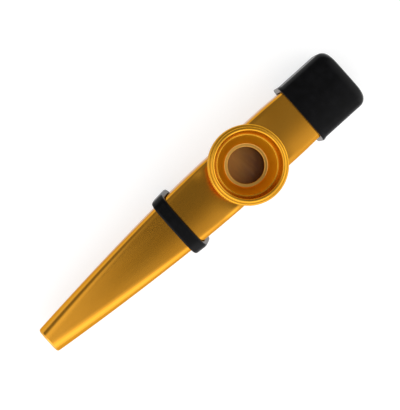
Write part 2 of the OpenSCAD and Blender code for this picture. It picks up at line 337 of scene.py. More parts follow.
gold_shell, bench, shader = new_finish(
    "gold_shell", GOLD, 1.0, 0.3, Coat_Weight=COAT, Coat_Roughness=COAT_ROUGHNESS, Specular_Tint=GLANCING_GOLD
)
brushed = speckle(bench, object_place(bench, SCRATCHED), BRUSHED_GRAINS, 3.0)
satin = speckle(bench, object_place(bench), SATIN_GRAINS, 1.0)
clouds = speckle(bench, object_place(bench, DRAWN_OUT), CLOUD_GRAINS)
x, _, _ = bench.split(object_place(bench))
outlet_wear = clamped(1.3 - (x - outlet_x) / WEAR_WIDTH + (clouds - 0.5))
tone = blend_colours(bench, clamped(clouds * 1.6 - 0.3), GOLD, GOLD_DEEP)
feed(bench, blend_colours(bench, outlet_wear, tone, GOLD_WORN), shader, "Base Color")
feed(bench, 0.12 + 0.06 * brushed + 0.04 * clouds, shader, "Roughness")
feed(bench, raised(bench, brushed * 0.7 + satin * 0.3, SCRATCH_DEPTH), shader, "Normal")
print("gold_shell:", len(bench.tree.nodes), "nodes")

# %% Turned gold, with fine rings about the axis of the cup
TURNED = (0.68, 0.33, 0.026)
TURNED_DEEP = (0.63, 0.285, 0.017)
# Lighter gold painted inside the bowl, as painted light.
TURNED_BOWL_PAINTED_LIGHT = (0.86, 0.44, 0.016)
# Paler gold painted on the lip round the throat, as a painted highlight.
TURNED_PAINTED_LIP_HIGHLIGHT = (0.80, 0.50, 0.20)
GLANCING_TURNED = (0.88, 0.66, 0.36, 1.0)
RING_GRAINS, PATCH_GRAINS = 5000.0, 240.0
RING_DEPTH = 0.003 * MM
LIP_REACH, LIP_BLUR, LIP_EDGE_BLUR = 6.6 * MM, 0.15 * MM, 0.1 * MM
BOWL_REACH, BOWL_BLUR = 9.0 * MM, 0.3 * MM
lip_z = cup_high.z - 8.4 * MM

gold_turned, bench, shader = new_finish(
    "gold_turned", TURNED, 1.0, 0.22, Coat_Roughness=COAT_ROUGHNESS, Specular_Tint=GLANCING_TURNED
)
place = object_place(bench, centre=tuple(cup_axis))
x, y, z = bench.split(place)
radius = (x * x + y * y) ** 0.5
rings = speckle(bench, bench.join(radius, z), RING_GRAINS)
clouds = speckle(bench, place, PATCH_GRAINS)
# Painted highlight: a ring on the lip round the throat, where the paler gold is mixed in below.
lip_highlight = clamped(2.0 - abs(z - lip_z) / LIP_BLUR) * clamped((LIP_REACH - radius) / LIP_EDGE_BLUR)
bowl = clamped((BOWL_REACH - radius) / BOWL_BLUR) * clamped((z - lip_z) / BOWL_BLUR - 0.3)
tone = blend_colours(bench, clamped(clouds * 1.6 - 0.3), TURNED, TURNED_DEEP)
# Painted light: the gold inside the bowl is painted lighter to stand in for light that the deep bowl lacks.
tone = blend_colours(bench, bowl, tone, TURNED_BOWL_PAINTED_LIGHT)
feed(bench, blend_colours(bench, lip_highlight * 0.3, tone, TURNED_PAINTED_LIP_HIGHLIGHT), shader, "Base Color")
feed(bench, 0.17 + 0.08 * rings + 0.04 * clouds + 0.24 * bowl, shader, "Roughness")
feed(bench, COAT - COAT * bowl, shader, "Coat Weight")
feed(bench, raised(bench, rings, RING_DEPTH), shader, "Normal")
print("gold_turned:", len(bench.tree.nodes), "nodes")

# %% Black rubber, film and card
RUBBER = (0.0010, 0.0010, 0.0012)
RUBBER_GREY = (0.0030, 0.0030, 0.0036)
RUBBER_GRAINS, DUST_GRAINS = 5200.0, 420.0
RUBBER_DEPTH = 0.012 * MM

black_rubber, bench, shader = new_finish("black_rubber", RUBBER, 0.0, 0.3, Specular_IOR_Level=0.12)
grain = speckle(bench, object_place(bench), RUBBER_GRAINS, 3.0)
dust = speckle(bench, object_place(bench), DUST_GRAINS, 3.0)
feed(bench, blend_colours(bench, clamped(dust * 2.4 - 0.9), RUBBER, RUBBER_GREY), shader, "Base Color")
feed(bench, 0.17 + 0.08 * dust + 0.05 * grain, shader, "Roughness")
feed(bench, raised(bench, grain, RUBBER_DEPTH), shader, "Normal")

# The film's dark brown is partly its own tint and partly painted shade of the dark inside of the body behind
# it. The paler brown is painted light for its lit side.
FILM_BROWN_AND_PAINTED_SHADE = (0.13, 0.046, 0.005)
FILM_PAINTED_LIT_SIDE = (0.60, 0.30, 0.050)
CREASE_GRAINS, CREASED = 500.0, (1.0, 0.35, 1.0)
CREASE_DEPTH = 0.03 * MM
FILM_WIDTH = 11.0 * MM

film_skin, bench, shader = new_finish("film_skin", FILM_BROWN_AND_PAINTED_SHADE, 0.0, 0.32, Alpha=0.85, Specular_IOR_Level=0.3)
creases = speckle(bench, object_place(bench, CREASED), CREASE_GRAINS)
x, y, _ = bench.split(object_place(bench, centre=tuple(cup_axis)))
# Painted light: the film is painted paler towards the outlet and far side and darker towards the mouthpiece
# and near side. Crease noise varies this at random.
pale = clamped((y - x) / FILM_WIDTH + 0.5 + 0.5 * creases - 0.25)
feed(bench, blend_colours(bench, pale, FILM_BROWN_AND_PAINTED_SHADE, FILM_PAINTED_LIT_SIDE), shader, "Base Color")
feed(bench, 0.24 + 0.2 * creases, shader, "Roughness")
feed(bench, raised(bench, creases, CREASE_DEPTH), shader, "Normal")

CARD = (0.50, 0.38, 0.24)
CARD_DARK = (0.34, 0.25, 0.15)
FIBRE_GRAINS, LAYERED = 3000.0, (1.0, 1.0, 0.4)
FIBRE_DEPTH = 0.02 * MM

card_board, bench, shader = new_finish("card_board", CARD, 0.0, 0.85)
fibre = speckle(bench, object_place(bench, LAYERED), FIBRE_GRAINS, 4.0)
feed(bench, blend_colours(bench, clamped(fibre * 2.0 - 0.5), CARD, CARD_DARK), shader, "Base Color")
feed(bench, raised(bench, fibre, FIBRE_DEPTH), shader, "Normal")
print("finishes:", [m.name for m in (gold_shell, gold_turned, black_rubber, film_skin, card_board)])

# %% [markdown]
# ## Growing a mesh from a tree of nodes
# Geometry Nodes fit what follows a rule, because the rule stays readable and its sizes are named inputs. The
# tree hangs on a helper object, its inputs are set by their identifiers, and the evaluated result is copied
# to a plain mesh. The helper then goes, so the finished piece carries no modifier of it.

# %% Trees with named inputs
def new_growth(name, sizes):
    """A Geometry Nodes tree with a float or whole-number input for each size."""
    tree = bpy.data.node_groups.new(name, "GeometryNodeTree")
    tree.interface.new_socket("Geometry", in_out="INPUT", socket_type="NodeSocketGeometry")
    for size, value in sizes.items():
        kind = "NodeSocketInt" if isinstance(value, int) else "NodeSocketFloat"
        tree.interface.new_socket(size, in_out="INPUT", socket_type=kind)
    tree.interface.new_socket("Geometry", in_out="OUTPUT", socket_type="NodeSocketGeometry")
    bench = Bench(tree)
    first = bench.add("NodeGroupInput", out="Geometry")
    return bench, first, {size: first.beside(size) for size in sizes}


def end_growth(bench, geometry, material):
    """Real geometry with its material, as the tree's result."""
    real = bench.add("GeometryNodeRealizeInstances", {}, {"Geometry": geometry})
    made = bench.add("GeometryNodeSetMaterial", {}, {"Geometry": real, "Material": material})
    bench.add("NodeGroupOutput", {}, {"Geometry": made})
    return bench.tree


def grow(tree, sizes, start=None):
    """The plain mesh that the tree makes with these sizes, from a starting mesh if it has one."""
    helper = bpy.data.objects.new("helper", start or bpy.data.meshes.new("empty"))
    bpy.context.collection.objects.link(helper)
    growth = helper.modifiers.new("growth", "NODES")
    growth.node_group = tree
    for socket in tree.interface.items_tree:
        if socket.in_out == "INPUT" and socket.name in sizes:
            growth[socket.identifier] = sizes[socket.name]
    evaluated = helper.evaluated_get(bpy.context.evaluated_depsgraph_get())
    mesh = bpy.data.meshes.new_from_object(evaluated)
    bpy.data.objects.remove(helper)
    return mesh


print("ready to grow")

# %% Finishing and placing a piece
pieces = []


def mesh_of(name, points, faces):
    """A mesh whose faces point outwards, checked by its volume."""
    mesh = bpy.data.meshes.new(name)
    mesh.from_pydata([tuple(point) for point in points], [], faces)
    form = bmesh.new()
    form.from_mesh(mesh)
    if form.calc_volume(signed=True) < 0:
        bmesh.ops.reverse_faces(form, faces=form.faces)
    form.to_mesh(mesh)
    form.free()
    mesh.update()
    return mesh


def ring_faces(rings, count, closed):
    """Quads between rings of count points. Closed rings meet the first again."""
    faces = []
    for i in range(rings if closed else rings - 1):
        for j in range(count):
            here, there = i * count, (i + 1) % rings * count
            k = (j + 1) % count
            faces.append((here + j, here + k, there + k, there + j))
    return faces


def place_piece(name, mesh, body, slot, material, *nodes):
    """Puts a finished mesh in the scene, on its body and in place of its solids."""
    mesh.materials.clear()
    mesh.materials.append(material)
    mesh.polygons.foreach_set("use_smooth", [True] * len(mesh.polygons))
    piece = bpy.data.objects.new(name, mesh)
    bpy.context.collection.objects.link(piece)
    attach(piece, body)
    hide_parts(*nodes)
    pieces.append(piece)
    print(f"{name}: {len(mesh.vertices)} points on {body}")
    return piece


SHARP_ANGLE = math.radians(40.0)


def soften(piece, width, segments=2, weighted=False):
    """Rounds the sharp edges a little and evens the shading beside them."""
    bevel = piece.modifiers.new("soft edges", "BEVEL")
    bevel.width = width
    bevel.segments = segments
    bevel.limit_method = "WEIGHT" if weighted else "ANGLE"
    bevel.angle_limit = SHARP_ANGLE
    bevel.use_clamp_overlap = False
    bevel.miter_outer = "MITER_ARC"
    even = piece.modifiers.new("even shading", "WEIGHTED_NORMAL")
    even.keep_sharp = True


print("ready to place pieces")

# %% [markdown]
# ## The body's half shells
# On the real kazoo the body is two trays pressed from sheet, a round outlet at one end and a flat-topped
# rectangle at the other, lapped along their sides. A box with bevels could not follow that change. Here a
# tree of nodes rolls a flat grid round the section: across the grid a point first climbs the straight side,
# then turns through the corner, then crosses the top, and along the grid the section's sizes follow the rule
# above. Growing it twice, once inset by the sheet, gives the two faces of the sheet, and Python joins them
# along the lapped seam and at the ends.

# %% The tree that rolls a sheet round the body
STATIONS = 169
CROWDING = 0.95
AROUND = 73
SIDE_SHARE = 0.2
CORNER_SHARE = 0.55
QUARTER = math.pi / 2

skin_sizes = {
    **body_sizes,
    "Stations": STATIONS,
    "Around": AROUND,
    "Length": body_length,
    "Inset": 0.0,
    "Start height": 0.0,
    "Up": 1.0,
}
bench, _, size = new_growth("roll_sheet", skin_sizes)
grid = bench.add(
    "GeometryNodeMeshGrid",
    {},
    {"Size X": 1.0, "Size Y": 1.0, "Vertices X": size["Stations"], "Vertices Y": size["Around"]},
    out="Mesh",
)
flat_x, flat_y, _ = bench.split(bench.add("GeometryNodeInputPosition"))
along = flat_x + 0.5
s = (along * (1.0 - CROWDING) + along * along * CROWDING) * size["Length"]
across = flat_y * 2.0
side = 0.0 - bench.math("SIGN", across)
climb = 1.0 - abs(across)

half_width, half_depth, corner, sink = body_section(s, size)
inset = size["Inset"] + turned_in(s, size["Inset"], size)
corner = corner - inset
core_width = half_width - inset - corner
core_depth = half_depth - inset - corner
start = bench.math("ARCSINE", clamped((size["Start height"] - core_depth) / corner))
low = least(size["Start height"], core_depth)
turn = start + (QUARTER - start) * clamped((climb - SIDE_SHARE) / (CORNER_SHARE - SIDE_SHARE))
y = side * (
    core_width * (1.0 - clamped((climb - CORNER_SHARE) / (1.0 - CORNER_SHARE)))
    + corner * bench.math("COSINE", turn)
)
z = low + (core_depth - low) * clamped(climb / SIDE_SHARE) + corner * bench.math("SINE", turn)
z = z - most(z, 0.0) * sink * y * y * most(size["Up"], 0.0)
place = bench.join(s + outlet_x, y * size["Up"], seam_z + z * size["Up"])
rolled = bench.add("GeometryNodeSetPosition", {}, {"Geometry": grid, "Position": place})
roll_sheet = end_growth(bench, rolled, gold_shell)
print("roll_sheet:", len(roll_sheet.nodes), "nodes")

# %% Joining two faces of the sheet into a shell
def skin(inset, start_height, up):
    """Rows of points of one face of the sheet, a row for each station."""
    mesh = grow(roll_sheet, {**skin_sizes, "Inset": inset, "Start height": start_height, "Up": up})
    points = [vertex.co.copy() for vertex in mesh.vertices]
    return [points[i * AROUND : (i + 1) * AROUND] for i in range(STATIONS)]


def side_place(s, inset, height):
    """Distance from the middle line to the inset side wall, at a height above the seam."""
    half_width, half_depth, corner, _ = body_section(s, body_sizes)
    inset += turned_in(s, inset, body_sizes)
    corner -= inset
    rise = min(corner, max(0.0, height - (half_depth - inset - corner)))
    return half_width - inset - corner + math.sqrt(corner * corner - rise * rise)


def shell_mesh(name, inner_start, steps, up):
    """A half shell. steps are the inset and height of the lap's points, from the outer face inwards."""
    outside, inside = skin(0.0, 0.0, up), skin(SHEET, inner_start, up)
    points = []
    for outer, inner in zip(outside, inside):
        s = outer[0].x - outlet_x
        lap = [
            (side_place(s, inset, abs(height)), seam_z + height * up) for inset, height in steps
        ]
        left = [Vector((outer[0].x, -up * reach, z)) for reach, z in lap]
        right = [Vector((outer[0].x, up * reach, z)) for reach, z in reversed(lap)]
        points += outer + left + inner[::-1] + right
    count = len(points) // STATIONS
    faces = ring_faces(STATIONS, count, closed=False)
    faces.append(tuple(reversed(range(count))))
    faces.append(tuple(range((STATIONS - 1) * count, STATIONS * count)))
    mesh = mesh_of(name, points, faces)
    weights = mesh.attributes.new("bevel_weight_edge", "FLOAT", "EDGE")
    seam_rows = {0, AROUND - 1}
    for edge, weight in zip(mesh.edges, weights.data):
        (i, j), (k, m) = (divmod(vertex, count) for vertex in edge.vertices)
        at_outlet = i == k == 0 and max(j, m) >= AROUND
        if at_outlet or i == k == STATIONS - 1 or (j == m and j in seam_rows):
            weight.value = 1.0
    return mesh


upper_mesh = shell_mesh("upper_half", LAP + FIT, [(LEAF, 0.0), (LEAF, LAP + FIT)], 1.0)
lower_mesh = shell_mesh("lower_half", 0.0, [(LEAF + FIT, 0.0), (LEAF + FIT, -LAP), (SHEET, -LAP)], -1.0)
print("shells joined:", len(upper_mesh.polygons), "and", len(lower_mesh.polygons), "faces")

# %% Cutting the hole for the socket and placing the halves
HOLE_SEGMENTS = 128


def bored(mesh, radius):
    """The mesh with an upright hole on the cup's axis."""
    tool = bmesh.new()
    centre = Matrix.Translation(cup_axis + Vector((0.0, 0.0, top_z)))
    bmesh.ops.create_cone(
        tool,
        cap_ends=True,
        segments=HOLE_SEGMENTS,
        radius1=radius,
        radius2=radius,
        depth=4 * SHEET,
        matrix=centre,
    )
    cutter_mesh = bpy.data.meshes.new("cutter")
    tool.to_mesh(cutter_mesh)
    tool.free()
    cutter = bpy.data.objects.new("cutter", cutter_mesh)
    blank = bpy.data.objects.new("blank", mesh)
    for helper in (cutter, blank):
        bpy.context.collection.objects.link(helper)
    cut = blank.modifiers.new("hole", "BOOLEAN")
    cut.operation, cut.object, cut.solver = "DIFFERENCE", cutter, "EXACT"
    result = bpy.data.meshes.new_from_object(blank.evaluated_get(bpy.context.evaluated_depsgraph_get()))
    for helper in (cutter, blank):
        bpy.data.objects.remove(helper)
    return result


SOCKET_RADIUS = 7.0 * MM
EDGE_WIDTH = 0.09 * MM
upper_half = place_piece(
    "upper_half", bored(upper_mesh, SOCKET_RADIUS + FIT), "body", "gold_shell", gold_shell, "upper_shell"
)
lower_half = place_piece("lower_half", lower_mesh, "body", "gold_shell", gold_shell, "lower_shell")
for half in (upper_half, lower_half):
    soften(half, EDGE_WIDTH, segments=3, weighted=True)

# %% [markdown]
# ## Turned parts
# The socket, the card ring and the cup are made on a lathe, so each is one outline carried round the cup's
# axis. The outline is a list of corners, each with a radius from the axis, a height and a rounding, because
# no turned edge is truly sharp and a small rounding is what catches the light.

# %% An outline with rounded corners, carried round the axis
LONGEST_SHARE = 0.48
NEARLY = 0.01 * MM


def rounded_outline(corners, steps=5):
    """Points of a closed outline. A corner is (radius, height) or (radius, height, rounding)."""
    points = []
    for i, corner in enumerate(corners):
        here = Vector(corner[:2])
        if len(corner) == 2:
            points.append(here)
            continue
        back = Vector(corners[i - 1][:2]) - here
        ahead = Vector(corners[(i + 1) % len(corners)][:2]) - here
        reach = min(corner[2], LONGEST_SHARE * back.length, LONGEST_SHARE * ahead.length)
        start, end = here + back.normalized() * reach, here + ahead.normalized() * reach
        for k in range(steps + 1):
            t = k / steps
            points.append(start * (1 - t) ** 2 + here * (2 * t * (1 - t)) + end * t * t)
    return points


def finely_split(points, radius, longest):
    """The same closed outline, with its straight side at the given radius cut into short rows."""
    split = []
    for i, point in enumerate(points):
        ahead = points[(i + 1) % len(points)]
        on_thread = abs(point.x - radius) + abs(ahead.x - radius) < NEARLY
        parts = max(1, math.ceil((ahead - point).length / longest)) if on_thread else 1
        split += [point.lerp(ahead, k / parts) for k in range(parts)]
    return split


def turned(name, outline, segments=144):
    """The closed outline carried round the cup's axis."""
    points = []
    for i in range(segments):
        angle = math.tau * i / segments
        for radius, height in outline:
            points.append((cup_axis.x + radius * math.cos(angle), radius * math.sin(angle), height))
    return mesh_of(name, points, ring_faces(segments, len(outline), closed=True))


print("lathe ready")

# %% [markdown]
# ## Screw threads
# The cup's neck has a fine outside thread and the socket has the thread inside. Both show once the cup is
# unscrewed. A thread follows a helix, so a second tree of nodes cuts it: for every point near the given
# radius it works out how many turns the helix has made at that height and angle, and moves the point in or
# out by a triangle wave of the remaining part of a turn. The cut fades at both ends, as a run-out does.

# %% The tree that cuts a thread
thread_sizes = {
    "Axis": cup_axis.x,
    "Radius": 1.0,
    "Reach": 0.02 * MM,
    "Pitch": 1.0 * MM,
    "Depth": 0.25 * MM,
    "Bottom": 0.0,
    "Top": 1.0,
    "Run-out": 0.3 * MM,
}
STEEPNESS, ROOT = 1.5, 0.3

bench, blank, size = new_growth("cut_thread", thread_sizes)
x, y, z = bench.split(bench.add("GeometryNodeInputPosition"))
x = x - size["Axis"]
radius = (x * x + y * y) ** 0.5
turns = z / size["Pitch"] - bench.math("ARCTAN2", y, x) / math.tau
wave = abs(bench.math("FRACT", turns) * 2.0 - 1.0)
crest = clamped(wave * STEEPNESS - ROOT)
near = 1.0 - clamped((abs(radius - size["Radius"]) - size["Reach"]) / size["Reach"])
ends = clamped((z - size["Bottom"]) / size["Run-out"]) * clamped((size["Top"] - z) / size["Run-out"])
cut = 1.0 - size["Depth"] * crest * near * ends / radius
place = bench.join(size["Axis"] + x * cut, y * cut, z)
threaded = bench.add("GeometryNodeSetPosition", {}, {"Geometry": blank, "Position": place})
cut_thread = end_growth(bench, threaded, gold_turned)
print("cut_thread:", len(cut_thread.nodes), "nodes")

# %% Socket, swaged into the upper half
THROAT = 5.5 * MM
BORE = 6.35 * MM
SWAGE = 0.3 * MM
SWAGE_HEIGHT = 0.7 * MM
FLANGE = (socket_high.x - socket_low.x) / 2
SEAT = 0.8 * MM
SOCKET_THREAD = 0.22 * MM
THREAD_ROW = 0.09 * MM

sheet_low = top_z - SHEET
flange_z = socket_high.z
seat_z = socket_low.z + SEAT
socket_outline = rounded_outline([
    (THROAT, socket_low.z, 0.12 * MM),
    (SOCKET_RADIUS, socket_low.z, 0.15 * MM),
    (SOCKET_RADIUS, sheet_low - SWAGE_HEIGHT, 0.1 * MM),
    (SOCKET_RADIUS + SWAGE, sheet_low - SWAGE_HEIGHT + SWAGE, 0.15 * MM),
    (SOCKET_RADIUS + SWAGE, sheet_low - 0.5 * FIT),
    (SOCKET_RADIUS, sheet_low - 0.5 * FIT),
    (SOCKET_RADIUS, top_z),
    (FLANGE, top_z, 0.06 * MM),
    (FLANGE, flange_z, 0.35 * MM),
    (BORE, flange_z, 0.15 * MM),
    (BORE, seat_z),
    (THROAT, seat_z, 0.06 * MM),
])
socket_mesh = turned("cup_socket", finely_split(socket_outline, BORE, THREAD_ROW))
socket_thread = {
    **thread_sizes,
    "Radius": BORE,
    "Depth": -SOCKET_THREAD,
    "Bottom": ring_high.z + 0.2 * MM,
    "Top": flange_z - 0.1 * MM,
}
socket_mesh = grow(cut_thread, socket_thread, socket_mesh)
place_piece("cup_socket", socket_mesh, "body", "gold_turned", gold_turned, "membrane_socket")

# %% Cup: neck, waist, grip, bead and bowl
NECK = 6.3 * MM
WAIST = 7.6 * MM
GRIP = cup_high.x - cup_axis.x
KNURL = 0.22 * MM
RIM = 11.25 * MM
BEAD = 0.65 * MM
BOWL = RIM - 2 * BEAD
LEDGE = BOWL - 0.7 * MM
LIP = THROAT + 1.0 * MM

rim_z = cup_high.z
nose_z = cup_low.z
shoulder_z = flange_z + 0.3 * MM
waist_z = shoulder_z + 1.2 * MM
grip_top = rim_z - 0.85 * MM
grip_low = grip_top - 3.4 * MM
ledge_z = rim_z - 4.2 * MM
collar = GRIP - 0.01 * MM
grip_base = GRIP - KNURL
knurl_low = grip_low + 0.65 * MM
knurl_top = grip_top - 0.85 * MM
bell_reach = collar - 0.375 * MM - WAIST
CURVE_STEPS = 16
bell = [
    (WAIST + bell_reach * (1 - math.cos(angle)), waist_z + (grip_low - waist_z) * math.sin(angle))
    for angle in (QUARTER * k / CURVE_STEPS for k in range(CURVE_STEPS + 1))
]
bead = [
    (RIM - BEAD * (1 - math.cos(angle)), rim_z - BEAD * (1 - math.sin(angle)))
    for angle in (math.pi * k / CURVE_STEPS for k in range(CURVE_STEPS + 1))
]
cup_outline = rounded_outline([
    (THROAT, nose_z, 0.1 * MM),
    (NECK, nose_z, 0.2 * MM),
    (NECK, shoulder_z, 0.08 * MM),
    (WAIST, shoulder_z, 0.15 * MM),
    *bell,
    (collar, grip_low + 0.3 * MM, 0.15 * MM),
    (collar, knurl_low, 0.06 * MM),
    (grip_base, knurl_low + 0.15 * MM, 0.05 * MM),
    (grip_base, knurl_top - 0.15 * MM, 0.05 * MM),
    (collar, knurl_top, 0.06 * MM),
    (collar, grip_top - 0.35 * MM, 0.2 * MM),
    (collar - 0.35 * MM, grip_top, 0.15 * MM),
    (RIM, grip_top, 0.12 * MM),
    *bead,
    (LEDGE, ledge_z, 0.12 * MM),
    (LEDGE - 0.35 * MM, ledge_z, 0.15 * MM),
    (LIP, lip_z, 0.15 * MM),
    (THROAT, lip_z, 0.2 * MM),
])
cup_mesh = turned("cup", finely_split(cup_outline, NECK, THREAD_ROW))
cup_thread = {**thread_sizes, "Radius": NECK, "Bottom": nose_z + 0.1 * MM, "Top": shoulder_z - 0.1 * MM}
cup_mesh = grow(cut_thread, cup_thread, cup_mesh)
place_piece("cup", cup_mesh, "cup", "gold_turned", gold_turned, "screw_cup")

# %% [markdown]
# ## The knurled grip
# Fingers need a hold to turn the cup, so its widest part is knurled. A knurl is one small ridge repeated many
# times round a circle, which is what instances are for: a tree of nodes makes the circle's points, puts the
# same ridge on each and turns it to face outwards, and Realize Instances makes real faces of them.

# %% One ridge, and the tree that repeats it
RIDGES = 96
RIDGE_WIDTH = 0.72 * MM
RIDGE_FOOT = 0.06 * MM
RIDGE_ENDS = ((-0.5, 0.0), (-0.42, 0.8), (-0.36, 1.0), (0.36, 1.0), (0.42, 0.8), (0.5, 0.0))
RIDGE_FLANK, RIDGE_FLANK_HEIGHT = 0.2, 0.75


def ridge_mesh(length, width, height):
    """A straight ridge along Z with run-out ends. Its foot is sunk a little, so that no gap shows."""
    points = []
    for z, rise in RIDGE_ENDS:
        top = height * rise
        flank = top * RIDGE_FLANK_HEIGHT
        section = (
            (-RIDGE_FOOT, 0.5), (flank, RIDGE_FLANK), (top, 0.0), (flank, -RIDGE_FLANK), (-RIDGE_FOOT, -0.5)
        )
        points += [(x, y * width, z * length) for x, y in section]
    count = len(section)
    faces = ring_faces(len(RIDGE_ENDS), count, closed=False)
    faces += [tuple(reversed(range(count))), tuple(range(len(points) - count, len(points)))]
    return mesh_of("ridge", points, faces)


knurl_sizes = {"Ridges": RIDGES, "Radius": 1.0, "Axis": cup_axis.x, "Height": 0.0}
bench, ridge, size = new_growth("press_knurl", knurl_sizes)
circle = bench.add(
    "GeometryNodeMeshCircle", {}, {"Vertices": size["Ridges"], "Radius": size["Radius"]}
)
angle = bench.add("GeometryNodeInputIndex") / size["Ridges"] * math.tau
facing = bench.join(z=angle)
ridges = bench.add(
    "GeometryNodeInstanceOnPoints", {}, {"Points": circle, "Instance": ridge, "Rotation": facing}
)
centre = bench.join(size["Axis"], 0.0, size["Height"])
ridges = bench.add("GeometryNodeTransform", {}, {"Geometry": ridges, "Translation": centre})
press_knurl = end_growth(bench, ridges, gold_turned)

grip_middle = (knurl_low + knurl_top) / 2
ridge_length = knurl_top - knurl_low - 0.1 * MM
knurl_mesh = grow(
    press_knurl,
    {**knurl_sizes, "Radius": grip_base, "Height": grip_middle},
    ridge_mesh(ridge_length, RIDGE_WIDTH, KNURL - 0.02 * MM),
)
place_piece("cup_knurl", knurl_mesh, "cup", "gold_turned", gold_turned)

# %% [markdown]
# ## Card ring and film
# The part that makes the sound is a thin film glued to a card ring, held between the socket's seat and the
# cup's neck. Seen down the throat, the film shows soft creases from its own weight and from the damp breath.
# A flat disc would look like a painted plate, so the film is a polar grid, and smooth noise stretched across
# the body lifts its middle by a few hundredths of a millimetre.

# %% Card ring
CARD_WIDTH = 0.7 * MM
CARD_EDGE = 0.08 * MM
CARD_SEGMENTS = 96

card_radius = ring_high.x - cup_axis.x
card_outline = rounded_outline([
    (card_radius - CARD_WIDTH, ring_low.z, CARD_EDGE),
    (card_radius, ring_low.z, CARD_EDGE),
    (card_radius, ring_high.z, CARD_EDGE),
    (card_radius - CARD_WIDTH, ring_high.z, CARD_EDGE),
])
card_mesh = turned("card_ring", card_outline, CARD_SEGMENTS)
place_piece("card_ring", card_mesh, "membrane", "card", card_board, "membrane_ring")

# %% Creased film
FILM_RINGS = 26
FILM_STEPS = 96
FREE_SHARE, GLUED_SHARE = 0.6, 0.95
CREASES_ALONG, CREASES_ACROSS, CREASE_SLICE = 620.0, 170.0, 3.0
CREASE = 0.10 * MM
DISH = 0.05 * MM

film_radius = film_high.x - cup_axis.x


def film_lift(x, y, reach):
    """How far the film is lifted there. It lies flat where the neck holds it."""
    free = 1 - eased((reach / THROAT - FREE_SHARE) / (GLUED_SHARE - FREE_SHARE))
    crease = CREASE * noise.noise(Vector((x * CREASES_ALONG, y * CREASES_ACROSS, CREASE_SLICE)))
    return free * (crease - DISH * (1 - (reach / film_radius) ** 2))


outwards = range(1, FILM_RINGS + 1)
film_points = []
for level, order in ((film_high.z, reversed(outwards)), (film_low.z, outwards)):
    for i in order:
        for j in range(FILM_STEPS):
            reach, angle = film_radius * i / FILM_RINGS, math.tau * j / FILM_STEPS
            x, y = reach * math.cos(angle), reach * math.sin(angle)
            film_points.append((cup_axis.x + x, y, level + film_lift(x, y, reach)))
film_faces = [
    quad
    for quad in ring_faces(2 * FILM_RINGS, FILM_STEPS, closed=True)
    if quad[0] // FILM_STEPS != FILM_RINGS - 1
]
middle = (FILM_RINGS - 1) * FILM_STEPS
film_faces.append(tuple(range(middle, middle + FILM_STEPS)))
film_faces.append(tuple(reversed(range(middle + FILM_STEPS, middle + 2 * FILM_STEPS))))
film_mesh = mesh_of("film", film_points, film_faces)
place_piece("film", film_mesh, "membrane", "film", film_skin, "membrane_film")

# %% [markdown]
# ## Rubber pieces
# The sleeve over the mouthpiece and the band round the middle are moulded rubber that copies the body's
# section, a rounded rectangle with a slightly crowned top. Both are lofts: the same outline drawn again and
# again along the body in changing sizes, and joined into a closed loop of rings, inside and outside in one.

# %% The outline round the body
CORNER_STEPS, TOP_STEPS, SIDE_STEPS = 9, 7, 4
LINE_TOP, LINE_FOOT, LINE_HEIGHT = 0.05 * MM, 0.13 * MM, 0.06 * MM


def quarter_turn(steps):
    """Point by point, the share of the radius gone from the turn's start and the share left to its end."""
    for k in range(steps + 1):
        angle = QUARTER * k / steps
        yield 1 - math.cos(angle), 1 - math.sin(angle)


def outline_at(s, half_width, half_depth, corner, lean=0.0, swell=0.0, line=0.0):
    """Points round the body at distance s, crowned on top as the body is there.

    The sides may swell, and may carry a fine raised line where the two halves of the mould met.
    """
    sink = body_section(s, body_sizes)[3]
    side, top = half_depth - corner, half_width - corner
    quarter = [(half_width + line, LINE_TOP), (half_width, LINE_FOOT)]
    quarter += [(half_width, side * (2 * k + 1) / (2 * SIDE_STEPS)) for k in range(SIDE_STEPS)]
    quarter += [
        (half_width - corner * gone, half_depth - corner * left) for gone, left in quarter_turn(CORNER_STEPS)
    ]
    quarter += [(top * (1 - 2 * k / (2 * TOP_STEPS + 1)), half_depth) for k in range(1, TOP_STEPS + 1)]
    upper = quarter + [(-y, z) for y, z in reversed(quarter)]
    ring = []
    for y, z in upper + [(-y, -z) for y, z in upper]:
        y *= 1 + swell / half_width * (1 - (z / half_depth) ** 2)
        z -= max(0.0, z) * sink * y * y
        ring.append(Vector((outlet_x + s - z * lean, y, seam_z + z)))
    return ring


def loft(name, rings):
    points = [point for ring in rings for point in ring]
    return mesh_of(name, points, ring_faces(len(rings), len(rings[0]), closed=True))


print("outline of", len(outline_at(50 * MM, 8 * MM, 7 * MM, 2 * MM)), "points")

# %% Mouthpiece sleeve
RUBBER_FIT = 0.15 * MM
SLEEVE_WALL = 1.2 * MM
NOSE = 2.0 * MM
NOSE_SIDE = 3.3 * MM
NOSE_TOP = 2.4 * MM
NOSE_RIM = (0.2 * MM, 1.65 * MM)
SLOT_EDGE = 0.5 * MM
SLOT_CORNER = 2.2 * MM
FLARE = 0.3 * MM
FLARE_EDGE = (0.6 * FLARE, 0.4 * FLARE)
FLARE_FADE = 1.6 * MM
WALL_START = 2.2 * MM
SLEEVE_EDGE = 0.12 * MM
UNDER_SLEEVE = 1.0 * MM
FLARE_STEPS, FADE_STEPS, WALL_STEPS, NOSE_STEPS, EDGE_STEPS = 6, 12, 13, 18, 8

sleeve_end = sleeve_high.x - outlet_x
body_there = body_section(sleeve_place + UNDER_SLEEVE, body_sizes)[:3]
cavity = tuple(size + RUBBER_FIT for size in body_there)
outer = tuple(size + SLEEVE_WALL for size in cavity)
flared = (outer[0] + FLARE, outer[1], outer[2])
slot = (
    outer[0] - NOSE_SIDE - NOSE_RIM[0] - SLOT_EDGE,
    outer[1] - NOSE_TOP - NOSE_RIM[1] - SLOT_EDGE,
    SLOT_CORNER,
)
wall_start, wall_end = sleeve_place + WALL_START, sleeve_end - NOSE_SIDE


